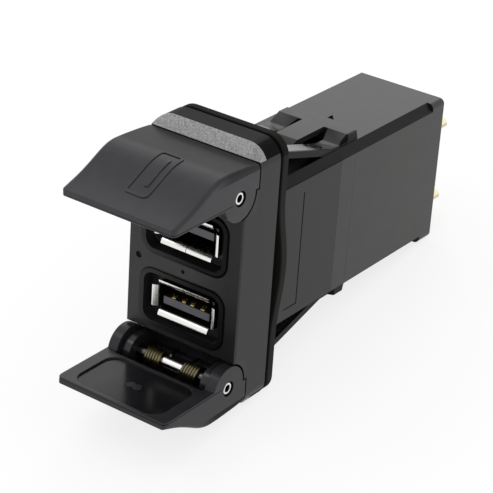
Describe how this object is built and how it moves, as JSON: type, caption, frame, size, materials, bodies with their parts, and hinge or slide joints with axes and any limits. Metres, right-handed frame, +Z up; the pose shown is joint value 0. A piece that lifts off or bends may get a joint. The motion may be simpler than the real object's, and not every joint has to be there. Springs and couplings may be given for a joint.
{
  "type": "car dual usb socket",
  "caption": "Snap-in rocker-size panel socket with two charging ports, each behind its own sprung flip cover on a hinge pin, and two blade terminals behind.",
  "frame": {"origin": "centre of the panel opening, on the panel's front face, where the gasket's back meets it", "axes": "+X to the right seen from the front, +Y from the panel back into the body, +Z up along the long side of the bezel; the ports face -Y"},
  "size_m": [0.026, 0.1042, 0.0554],
  "materials": {
    "body_plastic": "satin",
    "housing_plastic": "satin",
    "cover_plastic": "satin",
    "surround_plastic": "satin",
    "gasket_rubber": "matte",
    "pin_steel": "polished",
    "spring_wire": "bright",
    "port_steel": "bright",
    "insulator_plastic": "satin",
    "contact_gold": "bright",
    "board_laminate": "satin",
    "ferrite": "matte",
    "capacitor_can": "satin",
    "chip_resin": "matte",
    "blade_brass": "satin"
  },
  "bodies": {
    "housing": {"bezel_frame": "body_plastic", "rear_housing": "housing_plastic", "panel_gasket": "gasket_rubber", "upper_hinge_pin": "pin_steel", "lower_hinge_pin": "pin_steel", "upper_left_spring": "spring_wire", "upper_right_spring": "spring_wire", "lower_left_spring": "spring_wire", "lower_right_spring": "spring_wire", "upper_port_surround": "surround_plastic", "lower_port_surround": "surround_plastic", "upper_usb_shell": "port_steel", "lower_usb_shell": "port_steel", "upper_usb_tongue": "insulator_plastic", "lower_usb_tongue": "insulator_plastic", "upper_usb_contacts": "contact_gold", "lower_usb_contacts": "contact_gold", "port_board": "board_laminate", "main_board": "board_laminate", "inductor": "ferrite", "input_capacitor": "capacitor_can", "output_capacitor": "capacitor_can", "regulator_chip": "chip_resin", "controller_chip": "chip_resin", "diode": "chip_resin", "upper_blade": "blade_brass", "lower_blade": "blade_brass"},
    "upper_lid": {"upper_cover": "cover_plastic"},
    "lower_lid": {"lower_cover": "cover_plastic"}
  },
  "joints": [
    {"name": "upper_cover_hinge", "type": "hinge", "parent": "housing", "child": "upper_lid", "pos_m": [0, -0.0148, 0.0199], "axis": [1, 0, 0], "range_deg": [0, 90], "stiffness_Nm_per_rad": 0.002, "springref_deg": -45.84, "deforming": ["upper_left_spring", "upper_right_spring"]},
    {"name": "lower_cover_hinge", "type": "hinge", "parent": "housing", "child": "lower_lid", "pos_m": [0, -0.0148, -0.0199], "axis": [-1, 0, 0], "range_deg": [0, 90], "stiffness_Nm_per_rad": 0.002, "springref_deg": -45.84, "deforming": ["lower_left_spring", "lower_right_spring"]}
  ]
}
